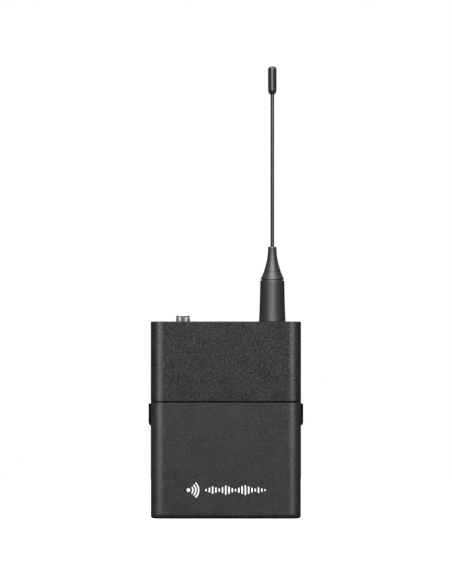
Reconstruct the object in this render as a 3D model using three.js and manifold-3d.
// Wireless bodypack transmitter. Millimetres, +Z up, +X to the right seen from the front, front faces -Y.
// The origin is on the housing's bottom face, at half its width and half its depth.
import * as THREE from "three";
import { mergeVertices } from "three/addons/utils/BufferGeometryUtils.js";
import Module from "manifold-3d";

const wasm = await Module();
wasm.setup();

// ---- Driving dimensions -------------------------------------------------------------------------
const WIDTH = 64;
const DEPTH = 20;
const HEIGHT = 83.8;
const CORNER = 6; // radius of the housing's four upright corners
const WALL = 1.6;
const GAP = 0.3; // clearance between neighbouring pieces
const PARTING_Y = -2; // plane between the rear shell and the front pieces
const SEAM_LOW = 49.45; // top of the battery door on its front face
const SEAM_HIGH = 49.95; // bottom of the front cover
const PANEL_LOW = 82; // underside of the inset top panel

const HINGE_RADIUS = 2.4; // rounded bottom edge of the door, about the hinge axis
const HINGE_Y = -DEPTH / 2 + HINGE_RADIUS;
const HINGE_Z = HINGE_RADIUS;
const HINGE_PIN_RADIUS = 0.5;
const DOOR_REACH = Math.hypot(SEAM_LOW - HINGE_Z, HINGE_RADIUS); // from the hinge to the door's top
const RUNNING_CLEARANCE = 0.06;

const CELL_RADIUS = 7.2; // AA cell
const CELL_BODY = 49.5;
const CELL_NUB_RADIUS = 2.7;
const CELL_NUB = 1;
const CELL_X = 8;
const CELL_Y = -0.9;
const LEFT_CELL_LOW = 6;
const RIGHT_CELL_LOW = 3.8;

const CATCH_LOW = 39.3;
const CATCH_HIGH = 48.9;
const CATCH_OUT = 32.93; // the catch's outer face, proud of the housing's side
const CATCH_REAR = 2.5; // rear end of the catch's tab, in a notch of the rear shell
const CATCH_TRAVEL = 0.9;
const BUTTON_X = 23;
const BUTTON_Z = 33;
const BUTTON_TRAVEL = 0.4;
const MUTE_TRAVEL = 3;

const JACK_X = -18.3;
const JACK_TOP = 86.4;
const JACK_RADIUS = 3;
const JACK_BORE = 1.8;
const ANTENNA_X = 19.8;
const SLEEVE_TOP = 101.4;
const BOOT_TOP = 115.7;
const WHIP_PIVOT_Z = 116.8;
const WHIP_RADIUS = 0.78;
const WHIP_TOP = 186;
const TIP_RADIUS = 1.83;
const TIP_LOW = 181;
const TIP_TOP = 192.8;
const LAMP_X = 10.8;

const SCREW_X = 23.8;
const SCREW_LOW_Z = 6.5;
const SCREW_HIGH_Z = 65;
const SCREW_SHAFT = 0.9;
const BOARD_FRONT = 6.9;
const BOARD_THICK = 0.8;
const CHASSIS_TOP = 60;
const LAND_Y = -6.4; // front face of the chassis beside the cells

const CLIP_WIRE = 1;
const CLIP_PIVOT_Y = 13.2;
const CLIP_PIVOT_Z = 71;

const HALF_WIDTH = WIDTH / 2;
const HALF_DEPTH = DEPTH / 2;
const INNER_X = HALF_WIDTH - WALL;
const INNER_Y = HALF_DEPTH - WALL;
const FAR = 300; // reaches past the whole object
const TINY = 1e-4;

// ---- Finishes -----------------------------------------------------------------------------------
const FINISHES = {
  housing: [0x38383a, 0.62, 0],
  catches: [0x1c1c1e, 0.55, 0],
  chassis: [0x1e1e20, 0.7, 0],
  rubber: [0x1b1b1d, 0.6, 0],
  lacquer: [0x0b0b0c, 0.25, 0],
  chrome: [0xc9c9c9, 0.15, 1],
  steel: [0xa9abad, 0.35, 1],
  brass: [0xc7a14a, 0.3, 1],
  blackSteel: [0x101011, 0.4, 0.6],
  wrap: [0x2d4a63, 0.4, 0],
  board: [0x1d5a35, 0.45, 0],
  chip: [0x141414, 0.5, 0],
  tin: [0xb8bab8, 0.4, 1],
  redLens: [0x8a1d16, 0.2, 0],
  greenLens: [0x1f7a3a, 0.2, 0],
  lampBody: [0xe6e2d4, 0.3, 0],
  grey: [0x6c6e72, 0.6, 0],
  red: [0xa8231d, 0.5, 0],
  label: [0xb4b6b8, 0.5, 0],
};

// ---- Helpers ------------------------------------------------------------------------------------

// Six times the signed volume of an indexed mesh: positive where its faces point out.
function signedVolume(position, index) {
  const [a, b, c] = [new THREE.Vector3(), new THREE.Vector3(), new THREE.Vector3()];
  let sum = 0;
  for (let i = 0; i < index.length; i += 3) {
    a.fromBufferAttribute(position, index[i]);
    b.fromBufferAttribute(position, index[i + 1]);
    c.fromBufferAttribute(position, index[i + 2]);
    sum += a.dot(b.cross(c));
  }
  return sum;
}

// A closed geometry: shared corners merged, collapsed triangles dropped, faces pointing out.
function closed(geometry) {
  const bare = geometry.clone();
  bare.deleteAttribute("normal");
  bare.deleteAttribute("uv");
  const merged = mergeVertices(bare, TINY);
  const index = [];
  for (let i = 0; i < merged.index.count; i += 3) {
    const [a, b, c] = [merged.index.getX(i), merged.index.getX(i + 1), merged.index.getX(i + 2)];
    if (a !== b && b !== c && c !== a) index.push(a, b, c);
  }
  if (signedVolume(merged.getAttribute("position"), index) < 0) index.reverse();
  merged.setIndex(index);
  return merged;
}

function solid(shape) {
  if (!shape.isBufferGeometry) return shape;
  const geometry = closed(shape);
  const vertProperties = new Float32Array(geometry.getAttribute("position").array);
  const triVerts = new Uint32Array(geometry.index.array);
  return new wasm.Manifold(new wasm.Mesh({ numProp: 3, vertProperties, triVerts }));
}

const join = (...shapes) => shapes.map(solid).reduce((whole, next) => whole.add(next));
const cut = (base, ...tools) => tools.map(solid).reduce((rest, tool) => rest.subtract(tool), solid(base));
const common = (...shapes) => shapes.map(solid).reduce((shared, next) => shared.intersect(next));

function toGeometry(shape) {
  if (shape.isBufferGeometry) return closed(shape);
  const mesh = shape.getMesh();
  const geometry = new THREE.BufferGeometry();
  geometry.setAttribute("position", new THREE.BufferAttribute(mesh.vertProperties, 3));
  geometry.setIndex(new THREE.BufferAttribute(mesh.triVerts, 1));
  return geometry;
}

// The same stretch of X on either side of the middle.
const sided = (side, [x0, x1]) => (side < 0 ? [-x1, -x0] : [x0, x1]);

// The same form on the left, mirrored in X.
function mirrored(shape) {
  return closed(toGeometry(shape).scale(-1, 1, 1));
}

// A box from its low and high coordinates along X, Y and Z.
function block([x0, x1], [y0, y1], [z0, z1]) {
  const box = new THREE.BoxGeometry(x1 - x0, y1 - y0, z1 - z0);
  return box.translate((x0 + x1) / 2, (y0 + y1) / 2, (z0 + z1) / 2);
}

function roundedOutline(halfX, halfY, radius) {
  const shape = new THREE.Shape();
  shape.absarc(halfX - radius, halfY - radius, radius, 0, Math.PI / 2, false);
  shape.absarc(radius - halfX, halfY - radius, radius, Math.PI / 2, Math.PI, false);
  shape.absarc(radius - halfX, radius - halfY, radius, Math.PI, 1.5 * Math.PI, false);
  shape.absarc(halfX - radius, radius - halfY, radius, 1.5 * Math.PI, 2 * Math.PI, false);
  return shape;
}

// An outline in X and Y, drawn up from z0 to z1.
function upright(shape, z0, z1, curveSegments = 5) {
  const options = { depth: z1 - z0, bevelEnabled: false, curveSegments };
  return new THREE.ExtrudeGeometry(shape, options).translate(0, 0, z0);
}

// An outline in Y and Z, drawn across from x0 to x1.
function across(shape, x0, x1, curveSegments = 4) {
  const options = { depth: x1 - x0, bevelEnabled: false, curveSegments };
  const turn = new THREE.Matrix4().makeBasis(
    new THREE.Vector3(0, 1, 0),
    new THREE.Vector3(0, 0, 1),
    new THREE.Vector3(1, 0, 0),
  );
  return new THREE.ExtrudeGeometry(shape, options).applyMatrix4(turn).translate(x0, 0, 0);
}

function polygon(points) {
  return new THREE.Shape(points.map(([a, b]) => new THREE.Vector2(a, b)));
}

// A turned solid about the upright axis through (x, y), from its half profile of [radius, z].
function turned(profile, x = 0, y = 0, segments = 24) {
  const points = profile.map(([radius, z]) => new THREE.Vector2(radius, z));
  return new THREE.LatheGeometry(points, segments).rotateX(Math.PI / 2).translate(x, y, 0);
}

const post = (radius, z0, z1, x = 0, y = 0, segments = 24) =>
  turned([[0, z0], [radius, z0], [radius, z1], [0, z1]], x, y, segments);

// The same round bar laid along X, or along Y.
const barX = (radius, x0, x1, y, z, segments = 16) =>
  post(radius, x0, x1, 0, 0, segments).rotateY(Math.PI / 2).translate(0, y, z);
const barY = (radius, y0, y1, x, z, segments = 16) =>
  post(radius, -y1, -y0, 0, 0, segments).rotateX(Math.PI / 2).translate(x, 0, z);

// Points of an arc about a centre, from one angle to another in degrees.
function arcPoints(centreA, centreB, radius, fromDegrees, toDegrees, steps) {
  return Array.from({ length: steps + 1 }, (_, i) => {
    const angle = THREE.MathUtils.degToRad(fromDegrees + ((toDegrees - fromDegrees) * i) / steps);
    return [centreA + radius * Math.cos(angle), centreB + radius * Math.sin(angle)];
  });
}

class Coil extends THREE.Curve {
  constructor(lowRadius, highRadius, length, turns) {
    super();
    Object.assign(this, { lowRadius, highRadius, length, turns });
  }

  getPoint(t, target = new THREE.Vector3()) {
    const radius = THREE.MathUtils.lerp(this.lowRadius, this.highRadius, t);
    const angle = 2 * Math.PI * this.turns * t;
    return target.set(radius * Math.cos(angle), radius * Math.sin(angle), this.length * t);
  }
}

function wire(path, radius, steps, sides = 8) {
  const section = new THREE.Shape();
  section.absarc(0, 0, radius, 0, 2 * Math.PI, false);
  return new THREE.ExtrudeGeometry(section, { steps, extrudePath: path, curveSegments: sides / 2 });
}

const transmitter = new THREE.Group();
transmitter.name = "bodypack_transmitter";

function place(name, shape, finish, parent = transmitter) {
  const [color, roughness, metalness] = FINISHES[finish];
  const material = new THREE.MeshStandardMaterial({ color, roughness, metalness });
  const mesh = new THREE.Mesh(toGeometry(shape), material);
  mesh.name = name;
  parent.add(mesh);
  return mesh;
}

// ---- Housing ------------------------------------------------------------------------------------

const outerPrism = (z0, z1) => upright(roundedOutline(HALF_WIDTH, HALF_DEPTH, CORNER), z0, z1);
const innerPrism = (z0, z1, clearance = 0) =>
  upright(roundedOutline(INNER_X - clearance, INNER_Y - clearance, CORNER - WALL - clearance), z0, z1);

// Screw positions on the back, as [x, z].
const SCREWS = [SCREW_LOW_Z, SCREW_HIGH_Z].flatMap((z) => [[-SCREW_X, z], [SCREW_X, z]]);
const HEAD_RADIUS = 1.9;
const HEAD_DEPTH = 0.75;
const SCREW_TIP_Y = 1;
const SCREW_BORE = SCREW_SHAFT + 0.15;
const DRIVE = [1.1, 0.35]; // half length and half width of one slot of the cross recess
const DRIVE_FLOOR = HALF_DEPTH - 0.7;

// Half profile of a countersunk screw, grown all round by a clearance; its height runs along -Y.
function screwForm(x, z, grow) {
  const head = HALF_DEPTH - 0.05;
  const profile = [
    [0, SCREW_TIP_Y - grow],
    [SCREW_SHAFT + grow, SCREW_TIP_Y - grow],
    [SCREW_SHAFT + grow, head - HEAD_DEPTH - 1],
    [HEAD_RADIUS + grow, head - HEAD_DEPTH],
    [HEAD_RADIUS + grow, head + grow],
    [0, head + grow],
  ];
  return turned(profile, 0, 0, 16).rotateX(-Math.PI / 2).translate(x, 0, z);
}

// Gooseneck that carries a hinge pin: an eye about the hinge axis on an arm rising from the floor.
const EYE_RADIUS = 1.4;
const EYE_X = [23.5, 27.5];

function hingeArm(side) {
  const [a, b] = [HINGE_Y, HINGE_Z];
  const arm = polygon([
    [a - 0.5, b + 0.6], [a - 0.5, b + 2], [a + 0.2, b + 2.7], [a + 4.2, b + 2.7],
    [a + 4.2, 1], [a + 2.9, 1], [a + 2.9, b + 0.75], [a + 0.9, b + 0.75], [a + 0.5, b],
  ]);
  const [x0, x1] = side < 0 ? [-EYE_X[1], -EYE_X[0]] : EYE_X;
  const whole = join(across(arm, x0, x1), barX(EYE_RADIUS, x0, x1, a, b));
  return cut(whole, barX(HINGE_PIN_RADIUS + RUNNING_CLEARANCE, x0 - 1, x1 + 1, a, b));
}

const CLIP_LUG_X = [19.6, 23.6];
const CLIP_LUG_RADIUS = 2.2;
const CLIP_LUG_FOOT = 3.4; // half height of the lug where it meets the back
const CLIP_LUG_SKIN = 0.7; // closes the outer end of the wire's bore

// Lug on the back that takes one end of the clip's wire, its round nose about the clip's pivot.
function clipLug(side) {
  const root = HALF_DEPTH - 0.5;
  const lug = polygon([
    [root, CLIP_PIVOT_Z + CLIP_LUG_FOOT],
    [root, CLIP_PIVOT_Z - CLIP_LUG_FOOT],
    ...arcPoints(CLIP_PIVOT_Y, CLIP_PIVOT_Z, CLIP_LUG_RADIUS, -60, 60, 8),
  ]);
  const bore = [CLIP_LUG_X[0] - 1, CLIP_LUG_X[1] - CLIP_LUG_SKIN];
  const hole = barX(CLIP_WIRE + 0.15, ...bore, CLIP_PIVOT_Y, CLIP_PIVOT_Z);
  const right = cut(across(lug, ...CLIP_LUG_X), hole);
  return side < 0 ? mirrored(right) : right;
}

const LABEL_X = 20;
const LABEL_Z = [18, 56];
const LABEL_RECESS = 0.35;
const TONGUE_X = 29.5; // half width of the floor where it runs between the door's side walls
const PLATE_Z = [41.2, 47.2]; // the catch's slide plate and the recess that its arm points into
const STRIKE_X = 30.8; // recess in the side wall that the catch's arm points into
const STRIKE_Y = [3.2, 4.9];

// The space that the door's rounded bottom edge sweeps about the hinge.
const barrelRoom = () => barX(HINGE_RADIUS + GAP, -FAR, FAR, HINGE_Y, HINGE_Z, 32);

function rearShell() {
  const behind = block([-FAR, FAR], [PARTING_Y + GAP / 2, FAR], [-FAR, FAR]);
  const walls = cut(common(outerPrism(0, HEIGHT), behind), innerPrism(WALL, FAR));
  const tongue = common(
    innerPrism(0, WALL, GAP),
    block([-TONGUE_X, TONGUE_X], [-FAR, 0], [-FAR, FAR]),
  );
  const ahead = block([-FAR, FAR], [-FAR, HINGE_Y + 1], [-FAR, FAR]);
  const floorFront = cut(tongue, barrelRoom(), ahead);
  const shell = join(walls, floorFront, hingeArm(-1), hingeArm(1), clipLug(-1), clipLug(1));
  const label = block([-LABEL_X, LABEL_X], [HALF_DEPTH - LABEL_RECESS, FAR], LABEL_Z);
  const strikes = [-1, 1].map((side) => {
    const x = side * STRIKE_X;
    return block([x - 0.5, x + 0.5], STRIKE_Y, [PLATE_Z[0], PLATE_Z[1]]);
  });
  const swing = barX(DOOR_REACH + GAP, -FAR, FAR, HINGE_Y, HINGE_Z, 128);
  const notches = [-1, 1].map((side) => {
    const room = block(
      sided(side, [INNER_X - GAP, FAR]),
      [PARTING_Y - 1, CATCH_REAR + GAP],
      [CATCH_LOW - GAP, FAR],
    );
    return common(room, swing);
  });
  const screwRooms = SCREWS.map(([x, z]) => screwForm(x, z, 0.15));
  return cut(shell, label, ...strikes, ...notches, ...screwRooms);
}

const POST_RADIUS = 2.3;
const POST_END_Y = 5.5;

// Upper half of the front, with two posts that the upper screws bite into.
function frontCover() {
  const ahead = block([-FAR, FAR], [-FAR, PARTING_Y - GAP / 2], [-FAR, FAR]);
  const walls = cut(common(outerPrism(SEAM_HIGH, HEIGHT), ahead), innerPrism(0, FAR));
  const posts = [-SCREW_X, SCREW_X].map((x) =>
    cut(
      barY(POST_RADIUS, -INNER_Y - 0.4, POST_END_Y, x, SCREW_HIGH_Z),
      barY(SCREW_BORE, SCREW_TIP_Y - 1, POST_END_Y + 1, x, SCREW_HIGH_Z),
    ),
  );
  return join(walls, ...posts);
}

const WINDOW_RADIUS = 1.4; // lamp window in the top panel
const BUSHING_RADIUS = 4.2; // threaded antenna bushing where it passes the top panel
const MUTE_REST_X = -MUTE_TRAVEL / 2;
const MUTE_CAP = [2.4, 2]; // half length and half width of the mute slider's cap
const MUTE_STEM = [1, 0.5];
const MUTE_RECESS_Z = 82.8;
const MUTE_RECESS_SPARE = 0.5; // room round the cap at both ends of its travel

function topPanel() {
  const recessX = MUTE_CAP[0] + MUTE_TRAVEL / 2 + MUTE_RECESS_SPARE;
  const recessY = MUTE_CAP[1] + 0.4;
  const slotX = MUTE_STEM[0] + MUTE_TRAVEL / 2 + 0.4;
  const slotY = MUTE_STEM[1] + GAP;
  return cut(
    innerPrism(PANEL_LOW, HEIGHT, GAP),
    post(JACK_RADIUS + GAP, 0, FAR, JACK_X),
    post(BUSHING_RADIUS + GAP, 0, FAR, ANTENNA_X),
    post(WINDOW_RADIUS + GAP, 0, FAR, -LAMP_X),
    post(WINDOW_RADIUS + GAP, 0, FAR, LAMP_X),
    block([-recessX, recessX], [-recessY, recessY], [MUTE_RECESS_Z, FAR]),
    block([-slotX, slotX], [-slotY, slotY], [0, FAR]),
  );
}

place("rear_shell", rearShell(), "housing");
place("front_cover", frontCover(), "housing");
place("top_panel", topPanel(), "housing");

SCREWS.forEach(([x, z], i) => {
  const [reach, half] = DRIVE;
  const drive = join(
    block([x - reach, x + reach], [DRIVE_FLOOR, FAR], [z - half, z + half]),
    block([x - half, x + half], [DRIVE_FLOOR, FAR], [z - reach, z + reach]),
  );
  place(`rear_screw_${i + 1}`, cut(screwForm(x, z, 0), drive), "blackSteel");
});

const LABEL_EDGE = 0.1; // room round and behind the label in its recess
const labelPlate = block(
  [-LABEL_X + LABEL_EDGE, LABEL_X - LABEL_EDGE],
  [HALF_DEPTH - LABEL_RECESS + LABEL_EDGE, HALF_DEPTH - 0.05],
  [LABEL_Z[0] + LABEL_EDGE, LABEL_Z[1] - LABEL_EDGE],
);
place("rear_label", labelPlate, "label");

// ---- Battery door and its catches ---------------------------------------------------------------

const DOOR_REAR = PARTING_Y - GAP / 2;
const POCKET_X = 28.9; // the catch's pocket in the door's side wall starts here
const POCKET_Y = -4.15;
const RAIL_THICK = 0.6;
const RAIL_END = POCKET_X - CATCH_TRAVEL - GAP; // the rails stop short of the pressed-in tab
const PLATE_X = 24; // inner end of the catch's slide plate
const PLATE_THICK = 1.1;
const RAIL_START = 22;
const RAIL_REAR = -6.8; // how far back the rails and stops stand off the door's front
const STOP_X = [20, 20.6]; // wall that the catch's spring rests on
const LIP_THICK = 0.7;
const LIP_X = 28;
const BOSS_X = [27.9, 31]; // hinge boss on the inside of the door's side wall
const PIN_END = 29.6;

// Side view of the door in Y and Z: every edge that passes a neighbour is an arc about the hinge.
function doorProfile() {
  const rearReach = DOOR_REAR - HINGE_Y;
  const heel = rearReach + 0.15; // radius of the rounded lower rear corner
  const heelLow = THREE.MathUtils.radToDeg(Math.asin(HINGE_Z / heel));
  const heelHigh = THREE.MathUtils.radToDeg(Math.acos(rearReach / heel));
  const frontAngle = Math.atan2(SEAM_LOW - HINGE_Z, -HINGE_RADIUS);
  const rearAngle = Math.acos(rearReach / DOOR_REACH);
  const degrees = THREE.MathUtils.radToDeg;
  return polygon([
    ...arcPoints(HINGE_Y, HINGE_Z, HINGE_RADIUS, 180, 270, 8),
    ...arcPoints(HINGE_Y, HINGE_Z, heel, -heelLow, -heelHigh, 3),
    ...arcPoints(HINGE_Y, HINGE_Z, DOOR_REACH, degrees(rearAngle), degrees(frontAngle), 6),
  ]);
}

function batteryDoor() {
  const body = common(outerPrism(-1, SEAM_HIGH), across(doorProfile(), -FAR, FAR));
  const walls = cut(body, innerPrism(-FAR, FAR));
  // The lower lip curls under the hinge; it stops short of the side walls' own corners.
  const lip = polygon([
    ...arcPoints(HINGE_Y, HINGE_Z, HINGE_RADIUS, 185, 278, 8),
    ...arcPoints(HINGE_Y, HINGE_Z, HINGE_RADIUS - LIP_THICK, 278, 185, 8),
  ]);
  const lipRun = common(across(lip, -LIP_X, LIP_X), outerPrism(-1, HEIGHT));
  const sides = [-1, 1];
  const onFront = [-INNER_Y - 0.3, RAIL_REAR];
  const bosses = sides.map((side) => {
    const bar = barX(EYE_RADIUS, ...sided(side, BOSS_X), HINGE_Y, HINGE_Z);
    return common(bar, outerPrism(-1, HEIGHT));
  });
  const rails = sides.flatMap((side) =>
    [PLATE_Z[0] - GAP - RAIL_THICK, PLATE_Z[1] + GAP].map((z) =>
      block(sided(side, [RAIL_START, RAIL_END]), onFront, [z, z + RAIL_THICK]),
    ),
  );
  const stops = sides.map((side) => block(sided(side, STOP_X), onFront, PLATE_Z));
  const whole = join(walls, lipRun, ...bosses, ...rails, ...stops);
  const pockets = sides.map((side) =>
    block(sided(side, [POCKET_X, FAR]), [POCKET_Y, FAR], [CATCH_LOW - GAP, FAR]),
  );
  const eyeRooms = sides.map((side) => {
    const [x0, x1] = sided(side, EYE_X);
    return barX(EYE_RADIUS + GAP, x0 - GAP, x1 + GAP, HINGE_Y, HINGE_Z);
  });
  const pinHoles = sides.map((side) => {
    const bore = HINGE_PIN_RADIUS + RUNNING_CLEARANCE;
    return barX(bore, ...sided(side, [EYE_X[0], PIN_END + 0.2]), HINGE_Y, HINGE_Z);
  });
  return cut(whole, ...pockets, ...eyeRooms, ...pinHoles);
}

// The catch: a grooved tab in the side walls, a plate that follows the inside of the door's corner to
// its spring, and an arm behind the rear shell's wall. Drawn for the right side.
function catchForm() {
  const front = POCKET_Y + GAP / 2;
  const inside = POCKET_X + 0.1;
  const plan = polygon([
    [inside, front], [CATCH_OUT - 0.4, front], [CATCH_OUT, front + 0.5],
    [CATCH_OUT, CATCH_REAR - 0.5], [CATCH_OUT - 0.4, CATCH_REAR], [inside, CATCH_REAR],
  ]);
  const side = new THREE.Shape();
  side.moveTo(28, CATCH_LOW);
  side.lineTo(31.9, CATCH_LOW);
  side.lineTo(CATCH_OUT - 0.25, CATCH_LOW + 0.75);
  side.lineTo(CATCH_OUT, CATCH_LOW + 1.5);
  side.lineTo(CATCH_OUT, CATCH_HIGH - 0.25);
  side.lineTo(CATCH_OUT - 0.25, CATCH_HIGH);
  side.lineTo(28, CATCH_HIGH);
  // Side outline in X and Z, drawn along Y.
  const sideBlock = upright(side, -FAR, FAR).rotateX(Math.PI / 2);
  const swing = barX(DOOR_REACH - 0.05, 0, FAR, HINGE_Y, HINGE_Z, 128);
  const tab = common(upright(plan, CATCH_LOW, CATCH_HIGH), sideBlock, swing);
  const [cornerX, cornerY] = [HALF_WIDTH - CORNER, CORNER - HALF_DEPTH];
  const outer = CORNER - WALL - GAP;
  const inner = outer - PLATE_THICK;
  const bend = polygon([
    [PLATE_X, cornerY - outer], ...arcPoints(cornerX, cornerY, outer, -90, 0, 6),
    [cornerX + outer, cornerY + 1], [cornerX + inner, cornerY + 1],
    ...arcPoints(cornerX, cornerY, inner, 0, -90, 6), [PLATE_X, cornerY - inner],
  ]);
  const plate = upright(bend, ...PLATE_Z);
  const arm = block([inside, 30], [CATCH_REAR - 1, STRIKE_Y[1] - 0.5], [PLATE_Z[0] + 1, PLATE_Z[1] - 1]);
  const grooves = [0, 1, 2, 3, 4].map((i) => {
    const y = front + 1.25 + i;
    return block([CATCH_OUT - 0.3, FAR], [y - 0.18, y + 0.18], [CATCH_LOW + 2, CATCH_HIGH - 1]);
  });
  return cut(join(tab, plate, arm), ...grooves);
}

// A bowed leaf between the door's stop and the end of the slide plate.
function catchSpring() {
  const leaf = 0.22;
  const [x0, x1] = [20.9, 22.9];
  const bow = new THREE.CatmullRomCurve3([
    new THREE.Vector3(x0 + leaf, -7.5, PLATE_Z[0] + 0.4),
    new THREE.Vector3(x0 + leaf, -7.5, PLATE_Z[0] + 1.2),
    new THREE.Vector3(x1 - leaf, -7.5, (PLATE_Z[0] + PLATE_Z[1]) / 2),
    new THREE.Vector3(x0 + leaf, -7.5, PLATE_Z[1] - 1.2),
    new THREE.Vector3(x0 + leaf, -7.5, PLATE_Z[1] - 0.4),
  ]);
  return wire(bow, leaf / 2, 14, 4);
}

function hingePin() {
  return barX(HINGE_PIN_RADIUS, EYE_X[0] + 0.1, PIN_END, HINGE_Y, HINGE_Z);
}

place("battery_door", batteryDoor(), "housing");
place("catch_right", catchForm(), "catches");
place("catch_left", mirrored(catchForm()), "catches");
place("catch_spring_right", catchSpring(), "steel");
place("catch_spring_left", mirrored(catchSpring()), "steel");
place("hinge_pin_right", hingePin(), "steel");
place("hinge_pin_left", mirrored(hingePin()), "steel");

// ---- Chassis, cells and contacts ----------------------------------------------------------------

const CHASSIS_LOW = 2.7;
const CHASSIS_REAR = 6.3;
const CONTACT_THICK = 0.4;
const TOP_CONTACT_Z = 56.8;

function roundedKey(halfX, halfZ, radius, x, z, y0, y1) {
  const key = upright(roundedOutline(halfX, halfZ, radius), -y1, -y0, 2);
  return key.rotateX(Math.PI / 2).translate(x, 0, z);
}

const KEY_HALF_X = 4;
const KEY_HALF_Z = 2.5;
const KEY_CORNER = 1.2;

function chassis() {
  const envelope = common(
    innerPrism(CHASSIS_LOW, CHASSIS_TOP, GAP),
    block([-FAR, FAR], [LAND_Y, CHASSIS_REAR], [-FAR, FAR]),
  );
  const wellTop = TOP_CONTACT_Z - 0.2;
  const wells = [-CELL_X, CELL_X].map((x) =>
    post(CELL_RADIUS + GAP, 0, wellTop, x, CELL_Y, 32),
  );
  const contactSlot = [TOP_CONTACT_Z - GAP, TOP_CONTACT_Z + CONTACT_THICK + GAP];
  const contacts = [-CELL_X, CELL_X].map((x) =>
    block([x - 6.6, x + 6.6], [-FAR, 5.4], contactSlot),
  );
  const sideRooms = [-1, 1].map((side) =>
    block(side < 0 ? [-28.6, -17] : [17, 28.6], [LAND_Y + WALL, FAR], [12, 55]),
  );
  const armRooms = [-1, 1].map((side) =>
    block(
      sided(side, [26.5, FAR]),
      [-FAR, FAR],
      [PLATE_Z[0] - 3, CATCH_HIGH + 2],
    ),
  );
  const hingeRooms = [-1, 1].map((side) =>
    block(side < 0 ? [-FAR, -EYE_X[0] + 0.4] : [EYE_X[0] - 0.4, FAR], [-FAR, -3], [0, 5.6]),
  );
  const keyHoles = [-BUTTON_X, BUTTON_X].map((x) =>
    roundedKey(KEY_HALF_X + 0.2, KEY_HALF_Z + 0.2, KEY_CORNER + 0.2, x, BUTTON_Z, -8, 0),
  );
  const bores = [-SCREW_X, SCREW_X].map((x) => barY(SCREW_BORE, 0, INNER_Y, x, SCREW_LOW_Z));
  // The front is open between the lands, so that the cells can be lifted out.
  const mouth = block([-15.5, 15.5], [-FAR, CELL_Y - 1], [0, 55.5]);
  const rooms = [...wells, ...contacts, ...sideRooms, ...armRooms, ...hingeRooms];
  return cut(envelope, mouth, barrelRoom(), ...rooms, ...keyHoles, ...bores);
}

// An AA cell standing with its positive nub up, its foot at z = 0.
function cell() {
  const crimp = 0.4;
  return turned([
    [0, 0], [CELL_RADIUS - crimp, 0], [CELL_RADIUS, crimp], [CELL_RADIUS, CELL_BODY - crimp],
    [CELL_RADIUS - crimp, CELL_BODY], [CELL_NUB_RADIUS, CELL_BODY],
    [CELL_NUB_RADIUS, CELL_BODY + CELL_NUB], [0, CELL_BODY + CELL_NUB],
  ], 0, 0, 24);
}

function cellSpring() {
  return wire(new Coil(4.2, 2.2, 2.3, 3), 0.28, 36, 6).translate(0, 0, 0.3);
}

place("chassis", chassis(), "chassis");

const leftCell = new THREE.Group();
leftCell.position.set(-CELL_X, CELL_Y, LEFT_CELL_LOW);
transmitter.add(leftCell);
place("battery_left", cell(), "wrap", leftCell);
place("battery_spring_left", cellSpring(), "steel", leftCell).position.z = -3.2;

// The right cell stands the other way up.
const rightCell = new THREE.Group();
rightCell.position.set(CELL_X, CELL_Y, RIGHT_CELL_LOW + CELL_BODY);
rightCell.rotation.x = Math.PI;
transmitter.add(rightCell);
place("battery_right", cell(), "wrap", rightCell);
place("battery_spring_right", cellSpring(), "steel", rightCell).position.z = -3.2;

const bridge = block([-13.5, 13.5], [-4.6, 4], [WALL + GAP, WALL + GAP + CONTACT_THICK]);
place("contact_bridge", bridge, "steel");
for (const [name, x] of [["contact_plate_left", -CELL_X], ["contact_plate_right", CELL_X]]) {
  const plate = block([x - 6, x + 6], [-5.5, 4], [TOP_CONTACT_Z, TOP_CONTACT_Z + CONTACT_THICK]);
  const tail = block([x - 1, x + 1], [3.5, 5.1], [TOP_CONTACT_Z, TOP_CONTACT_Z + CONTACT_THICK]);
  place(name, join(plate, tail), "steel");
}

// ---- Electronics --------------------------------------------------------------------------------

const BOARD_Z = [3, 80];

function mainBoard() {
  const sheet = block([-27.8, 27.8], [BOARD_FRONT, BOARD_FRONT + BOARD_THICK], BOARD_Z);
  return cut(sheet, ...SCREWS.map(([x, z]) => barY(1.6, 0, 12, x, z)));
}

function shieldCan() {
  const [x, y, z] = [[-8, 8], [3.4, BOARD_FRONT - GAP], [61, 73]];
  const skin = 0.3;
  const inside = block([x[0] + skin, x[1] - skin], [y[0] + skin, FAR], [z[0] + skin, z[1] - skin]);
  return cut(block(x, y, z), inside);
}

const onBoard = (x, z, height) => block(x, [BOARD_FRONT - GAP - height, BOARD_FRONT - GAP], z);

place("main_board", mainBoard(), "board");
place("rf_shield", shieldCan(), "tin");
place("transmitter_chip", onBoard([10.5, 18.5], [62, 70], 1), "chip");
place("crystal", onBoard([11, 15], [72, 75], 1.2), "steel");

const SWITCH_FRONT = 5.3;
for (const [name, x] of [["tact_switch_left", -BUTTON_X], ["tact_switch_right", BUTTON_X]]) {
  const base = onBoard([x - 3, x + 3], [BUTTON_Z - 3, BUTTON_Z + 3], 0.9);
  const plunger = barY(1.7, SWITCH_FRONT, BOARD_FRONT - GAP - 0.5, x, BUTTON_Z);
  place(name, join(base, plunger), "chip");
}

function button(x) {
  const cap = roundedKey(KEY_HALF_X, KEY_HALF_Z, KEY_CORNER, x, BUTTON_Z, -7.4, -4.2);
  const flange = roundedKey(KEY_HALF_X + 0.7, KEY_HALF_Z + 0.7, KEY_CORNER, x, BUTTON_Z, -4.4, -3.6);
  const stem = barY(1.3, -4, SWITCH_FRONT - BUTTON_TRAVEL - 0.1, x, BUTTON_Z);
  return join(cap, flange, stem);
}

place("on_off_button", button(-BUTTON_X), "red");
place("sync_button", button(BUTTON_X), "grey");

function muteSwitchBody() {
  const slot = block([-3, 3], [-0.9, 0.9], [79.6, FAR]);
  return cut(block([-6.5, 6.5], [-3, 3], [74.5, 81]), slot);
}

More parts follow.
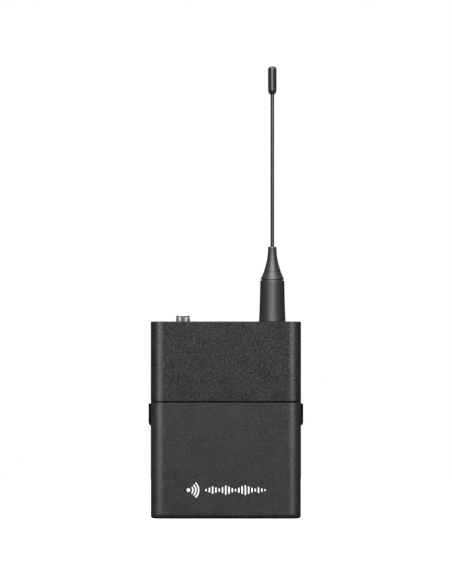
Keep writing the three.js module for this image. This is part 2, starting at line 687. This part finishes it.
function muteKnob() {
  const cap = block([-2.4, 2.4], [-2, 2], [MUTE_RECESS_Z + 0.15, HEIGHT - 0.15]);
  const stem = block([-1, 1], [-0.5, 0.5], [80, MUTE_RECESS_Z + 0.5]);
  const grooves = [-1.4, -0.7, 0, 0.7, 1.4].map((x) =>
    block([x - 0.15, x + 0.15], [-FAR, FAR], [HEIGHT - 0.4, FAR]),
  );
  return cut(join(cap, stem), ...grooves);
}

place("mute_switch_body", muteSwitchBody(), "chip");
place("mute_knob", muteKnob(), "grey").position.x = MUTE_REST_X;

for (const [name, x, finish] of [["link", -LAMP_X, "greenLens"], ["data", LAMP_X, "redLens"]]) {
  place(`${name}_lamp_window`, post(1.4, PANEL_LOW + 0.3, HEIGHT - 0.1, x), finish);
  const lamp = turned([
    [0, 77], [1.5, 77], [1.5, 77.8], [1.2, 77.8], [1.2, 80.4], [0.85, 81.3], [0, 81.6],
  ], x, 0, 16);
  place(`${name}_lamp`, lamp, "lampBody");
}

// ---- Microphone jack ----------------------------------------------------------------------------

const JACK_COLLAR_LOW = 80.5;
const JACK_BODY_TOP = 79.9;

const jackBody = cut(
  block([JACK_X - 4, JACK_X + 4], [-4, 4], [68, JACK_BODY_TOP]),
  post(JACK_BORE, 69.5, FAR, JACK_X, 0, 20),
);
place("jack_body", jackBody, "chip");
place("jack_collar", turned([
  [JACK_BORE, JACK_COLLAR_LOW], [JACK_RADIUS, JACK_COLLAR_LOW], [JACK_RADIUS, JACK_TOP - 0.3],
  [JACK_RADIUS - 0.3, JACK_TOP], [JACK_BORE + 0.3, JACK_TOP], [JACK_BORE, JACK_TOP - 0.3],
  [JACK_BORE, JACK_COLLAR_LOW],
], JACK_X), "chrome");
const nutBlank = post(4.8, 80.2, PANEL_LOW - GAP, JACK_X, 0, 6);
place("jack_nut", cut(nutBlank, post(JACK_RADIUS + 0.2, 0, FAR, JACK_X)), "brass");
const tipContact = join(
  block([JACK_X - 0.8, JACK_X + 0.8], [4.3, 4.6], [67, 76]),
  block([JACK_X - 0.8, JACK_X + 0.8], [4.3, BOARD_FRONT - GAP], [67, 67.4]),
);
place("jack_tip_contact", tipContact, "brass");

// ---- Antenna ------------------------------------------------------------------------------------

const CORE_RADIUS = 0.7;
const SPIGOT_RADIUS = 3;
const BOOT_BORE = 1.1;

place("antenna_bushing", turned([
  [1.2, 77], [4.2, 77], [4.2, 80], [5.6, 80], [5.6, PANEL_LOW - GAP], [4.2, PANEL_LOW - GAP],
  [4.2, HEIGHT - 0.2], [SPIGOT_RADIUS, HEIGHT - 0.2], [SPIGOT_RADIUS, 90], [1.2, 90], [1.2, 77],
], ANTENNA_X), "brass");
place("antenna_core", post(CORE_RADIUS, 74, BOOT_TOP - 0.3, ANTENNA_X, 0, 12), "steel");
place("antenna_sleeve", turned([
  [SPIGOT_RADIUS + 0.2, HEIGHT + 0.1], [5.66, HEIGHT + 0.1], [5.62, 85.6], [5.47, 88.3], [5.36, 92.2],
  [5.24, 97.1], [5.17, SLEEVE_TOP - 0.25], [4.97, SLEEVE_TOP], [1.2, SLEEVE_TOP], [1.2, 91],
  [SPIGOT_RADIUS + 0.2, 91], [SPIGOT_RADIUS + 0.2, HEIGHT + 0.1],
], ANTENNA_X, 0, 32), "rubber");
place("antenna_boot", turned([
  [BOOT_BORE, 101.6], [4.95, 101.6], [4.91, 102.2], [4.42, 103], [4.1, 103.9], [3.79, 104.7],
  [3.47, 105.6], [2.98, 107.3], [2.5, 109], [2.18, 110.7], [1.95, 112.4], [1.83, 114.2],
  [1.79, BOOT_TOP], [BOOT_BORE, BOOT_TOP], [BOOT_BORE, 101.6],
], ANTENNA_X, 0, 24), "rubber");

// The whip bends about a point just above the boot; its rounded foot is centred there.
const footArc = arcPoints(0, 0, WHIP_RADIUS, -90, 0, 4);
place("antenna_rod", turned([
  [0, -WHIP_RADIUS], ...footArc.slice(1), [WHIP_RADIUS, WHIP_TOP - WHIP_PIVOT_Z],
  [0, WHIP_TOP - WHIP_PIVOT_Z],
], ANTENNA_X, 0, 12), "lacquer").position.z = WHIP_PIVOT_Z;

const tipDome = arcPoints(0, TIP_TOP - TIP_RADIUS, TIP_RADIUS, 0, 90, 6);
place("antenna_tip", turned([
  [WHIP_RADIUS + 0.15, TIP_LOW], [WHIP_RADIUS + 0.35, TIP_LOW], [1.45, TIP_LOW + 0.7],
  [TIP_RADIUS, TIP_LOW + 1.5], ...tipDome.slice(0, -1), [0, TIP_TOP],
  [0, WHIP_TOP + 0.3], [WHIP_RADIUS + 0.15, WHIP_TOP + 0.3], [WHIP_RADIUS + 0.15, TIP_LOW],
], ANTENNA_X, 0, 16), "lacquer");

// ---- Belt clip ----------------------------------------------------------------------------------

// Right half of the bent wire as [x, y, z], from the end in its lug down to the middle of the loop.
const CLIP_HALF = [
  [22.6, CLIP_PIVOT_Y, CLIP_PIVOT_Z], [20.4, CLIP_PIVOT_Y, CLIP_PIVOT_Z],
  [17.6, CLIP_PIVOT_Y, CLIP_PIVOT_Z], [16, 13.4, 70.2], [15.4, 14, 68],
  [15.1, 15.4, 63], [15, 16.2, 57], [15, 16.4, 46], [15, 16, 37],
  [14.8, 14.6, 28.5], [14.2, 13.3, 22.5], [12.4, 13.4, 17.3], [8.6, 14.1, 14.2], [3.5, 14.5, 13],
];

function beltClip() {
  const mirror = CLIP_HALF.map(([x, y, z]) => [-x, y, z]).reverse();
  const points = [...CLIP_HALF, ...mirror].map(([x, y, z]) => new THREE.Vector3(x, y, z));
  return wire(new THREE.CatmullRomCurve3(points), CLIP_WIRE, 84, 8);
}

place("belt_clip", beltClip(), "blackSteel");

export default transmitter;
